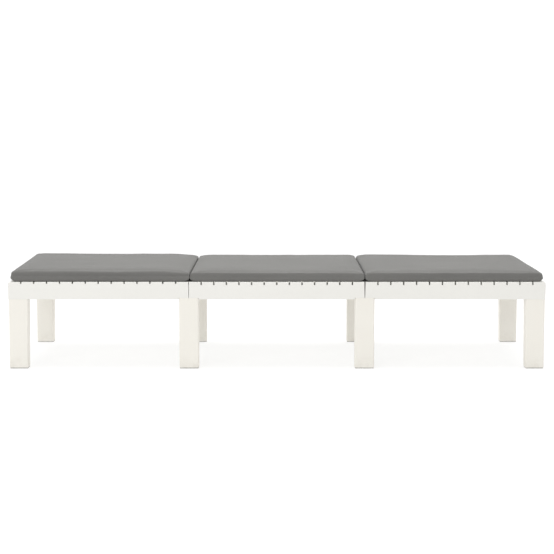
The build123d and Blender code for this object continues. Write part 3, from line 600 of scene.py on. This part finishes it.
# ---------------------------------------------------------------- strips of cover fabric under the folds
WEB_HALF = 30 * MM
WEB_THICK = 1.2 * MM
WEB_ROWS = 17
WEB_COLUMNS = 81
WEB_INSET = 1 * MM              # from the pads' sides


def fold_web(name, middle):
    """The strip of cover fabric that runs on under a fold and joins two pads."""
    bm = bmesh.new()
    half_width = PAD_SIDE - WEB_INSET
    across = np.linspace(-half_width, half_width, WEB_COLUMNS)
    rows = []
    for x in np.linspace(middle - WEB_HALF, middle + WEB_HALF, WEB_ROWS):
        rows.append([bm.verts.new((x, y, DECK_TOP + PAD_LIFT / 2)) for y in across])
    fill_rows(bm, rows)
    piece = new_object(name, bm, MATERIALS["grey_fabric"])
    thick = piece.modifiers.new("thick", "SOLIDIFY")
    thick.thickness = WEB_THICK
    thick.offset = 1.0
    apply_modifiers(piece)
    cloth_places(piece, DECK_TOP)
    return piece


# ---------------------------------------------------------------- straps
STRAP_THICK = 1.6 * MM
STRAP_LIFT = 0.4 * MM           # the strap's middle over the panel's top
STRAP_OUT = 0.8 * STRAP_THICK   # and out from the panel's edge
STRAP_UNDER = 30 * MM           # how far it goes in under the pad
STRAP_HOOK = 11 * MM            # where it ends behind the panel's edge, over the edge's underside
STRAP_ROUND = 3 * MM
STRAP_ROUND_STEPS = 6
STRAP_STEP = 2 * MM
STRAP_COLUMNS = 13
STRAP_RUCK = 0.2 * MM           # small waves along the strap
STRAP_RUCK_TURN = 0.55
STRAP_EDGE = 0.4 * MM


def rounded_route(corners):
    """A run of straight stretches with round corners, as points in Y and Z."""
    corners = [Vector(corner) for corner in corners]
    route = [corners[0]]
    for before, corner, after in zip(corners, corners[1:], corners[2:]):
        start = corner + (before - corner).normalized() * STRAP_ROUND
        end = corner + (after - corner).normalized() * STRAP_ROUND
        for step in range(STRAP_ROUND_STEPS + 1):
            t = step / STRAP_ROUND_STEPS
            route.append(start * (1 - t) ** 2 + corner * 2 * t * (1 - t) + end * t ** 2)
    return route + [corners[-1]]


def even_steps(route):
    """The same route with more points on its long stretches."""
    fine = []
    for a, b in zip(route, route[1:]):
        steps = max(1, int((b - a).length / STRAP_STEP))
        fine += [a.lerp(b, n / steps) for n in range(steps)]
    return fine + [route[-1]]


def strap(word, side):
    """A webbing strap that comes from under the pad, down the panel's edge and up behind it."""
    low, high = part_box(f"cushion_strap_{word}")
    panel_low, panel_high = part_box(f"backrest_edge_{word}")
    top = DECK_TOP + STRAP_LIFT
    bottom = low.z + STRAP_THICK / 2
    outer = max(abs(panel_low.y), abs(panel_high.y)) + STRAP_OUT
    inner = min(abs(low.y), abs(high.y)) + STRAP_THICK / 2
    route = rounded_route([(outer - STRAP_UNDER, top), (outer, top), (outer, bottom), (inner, bottom),
                           (inner, panel_low.z + STRAP_HOOK)])
    bm = bmesh.new()
    across = np.linspace(low.x, high.x, STRAP_COLUMNS)
    rows = []
    for number, point in enumerate(even_steps(route)):
        y = side * (point.x + STRAP_RUCK * math.sin(number * STRAP_RUCK_TURN))
        rows.append([bm.verts.new((x, y, point.y)) for x in across])
    fill_rows(bm, rows)
    piece = new_object(f"cushion_strap_band_{word}", bm, MATERIALS["strap_webbing"])
    thick = piece.modifiers.new("thick", "SOLIDIFY")
    thick.thickness = STRAP_THICK
    thick.offset = 0.0
    soft = piece.modifiers.new("soft", "BEVEL")
    soft.width = STRAP_EDGE
    soft.segments = 2
    soft.limit_method = "ANGLE"
    apply_modifiers(piece)
    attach(piece, "backrest")
    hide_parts(f"cushion_strap_{word}")


def make_pads():
    """The three pads with their stitches and the strips between them, on the bodies that carry them."""
    head, head_thread = pad("head_cushion", (HEAD_PAD[0].x - FREE_OVER, FOLD_AT - FOLD_GAP), HEAD_TOP, 1.0,
                            (FREE, HEAD_FOLD), drop=HEAD_TOP - SEAT_TOP, skew=HEAD_SKEW)
    seat, seat_thread = pad("seat_cushion", (FOLD_AT + FOLD_GAP, FOOT_SEAM - FOLD_GAP), SEAT_TOP, 2.0,
                            (HEAD_FOLD, FOOT_FOLD))
    foot, foot_thread = pad("foot_cushion", (FOOT_SEAM + FOLD_GAP, FOOT_PAD[1].x + FREE_OVER), SEAT_TOP, 3.0,
                            (FOOT_FOLD, FREE))
    head_web = fold_web("head_fold_web", FOLD_AT)
    foot_web = fold_web("foot_fold_web", FOOT_SEAM)
    for piece in (head, head_thread, seat, seat_thread, head_web):
        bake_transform(piece)
    for piece in (foot, foot_thread, foot_web):
        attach(piece, "frame")
    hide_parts("cushion_head")
    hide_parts("cushion_seat")
    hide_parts("cushion_foot")


# ---------------------------------------------------------------- studio
CAMERA_PLACE = Vector((0.0007, -5.4524, 0.9119))
CAMERA_TILT = 6.4987            # degrees down
CAMERA_LENS = 95.03
CAMERA_SENSOR = 36.0

STAGE_WIDE = 40.0
STAGE_DEEP = 9.0
STAGE_BEND = 2.5
STAGE_WALL = 6.0
STAGE_STEPS = 12
FLOOR_GLOW = 0.68
WALL_GLOW = 0.82

AIR_STRENGTH = 0.75
OVERHEAD_BOX = {"place": (0.0, 0.4, 3.6), "aim": (0.0, 0.0, 0.3), "size": (4.5, 3.2), "power": 95.0,
                "colour": WARM_WHITE}
FRONT_BOX = {"place": (-2.4, -4.6, 2.4), "aim": (0.0, 0.0, 0.25), "size": (2.5, 2.0), "power": 40.0,
             "colour": COOL_WHITE}


def strip(name, profile, material):
    """A broad sheet along X from its outline in Y and Z."""
    bm = bmesh.new()
    fill_rows(bm, [[bm.verts.new((x, y, z)) for y, z in profile] for x in (-STAGE_WIDE, STAGE_WIDE)])
    new_object(name, bm, material)


def make_stage():
    """A floor, and a wall far behind the lounger that it curves up into."""
    start = STAGE_DEEP - STAGE_BEND
    bend = [(start, 0.0)]
    for step in range(1, STAGE_STEPS + 1):
        turn = math.radians(90 * step / STAGE_STEPS)
        bend.append((start + STAGE_BEND * math.sin(turn), STAGE_BEND * (1 - math.cos(turn))))
    strip("studio_floor", [(-STAGE_WIDE, 0.0), (start, 0.0)], stage_material("studio_floor", FLOOR_GLOW))
    strip("studio_wall", bend + [(STAGE_DEEP, STAGE_WALL)], stage_material("studio_wall", WALL_GLOW))


def area_light(name, place, aim, size, power, colour):
    lamp = bpy.data.lights.new(name, "AREA")
    lamp.shape = "RECTANGLE"
    lamp.size, lamp.size_y = size
    lamp.energy = power
    lamp.color = colour
    light = bpy.data.objects.new(name, lamp)
    light.location = place
    light.rotation_euler = (Vector(aim) - Vector(place)).to_track_quat("-Z", "Y").to_euler()
    bpy.context.scene.collection.objects.link(light)


def make_lights():
    world = bpy.data.worlds.new("studio_air")
    world.use_nodes = True
    world.node_tree.nodes["Background"].inputs["Color"].default_value = rgba(WHITE)
    world.node_tree.nodes["Background"].inputs["Strength"].default_value = AIR_STRENGTH
    bpy.context.scene.world = world
    area_light("overhead_softbox", **OVERHEAD_BOX)
    area_light("front_softbox", **FRONT_BOX)


def make_camera():
    data = bpy.data.cameras.new("photo_camera")
    data.lens = CAMERA_LENS
    data.sensor_width = CAMERA_SENSOR
    camera = bpy.data.objects.new("photo_camera", data)
    camera.location = CAMERA_PLACE
    camera.rotation_euler = (math.radians(90 - CAMERA_TILT), 0.0, 0.0)
    bpy.context.scene.collection.objects.link(camera)
    bpy.context.scene.camera = camera


make_camera()
dress_frame()
make_pads()
strap("near", -1)
strap("far", 1)
make_stage()
make_lights()
bpy.context.scene.view_settings.view_transform = "Standard"
bpy.context.view_layer.update()
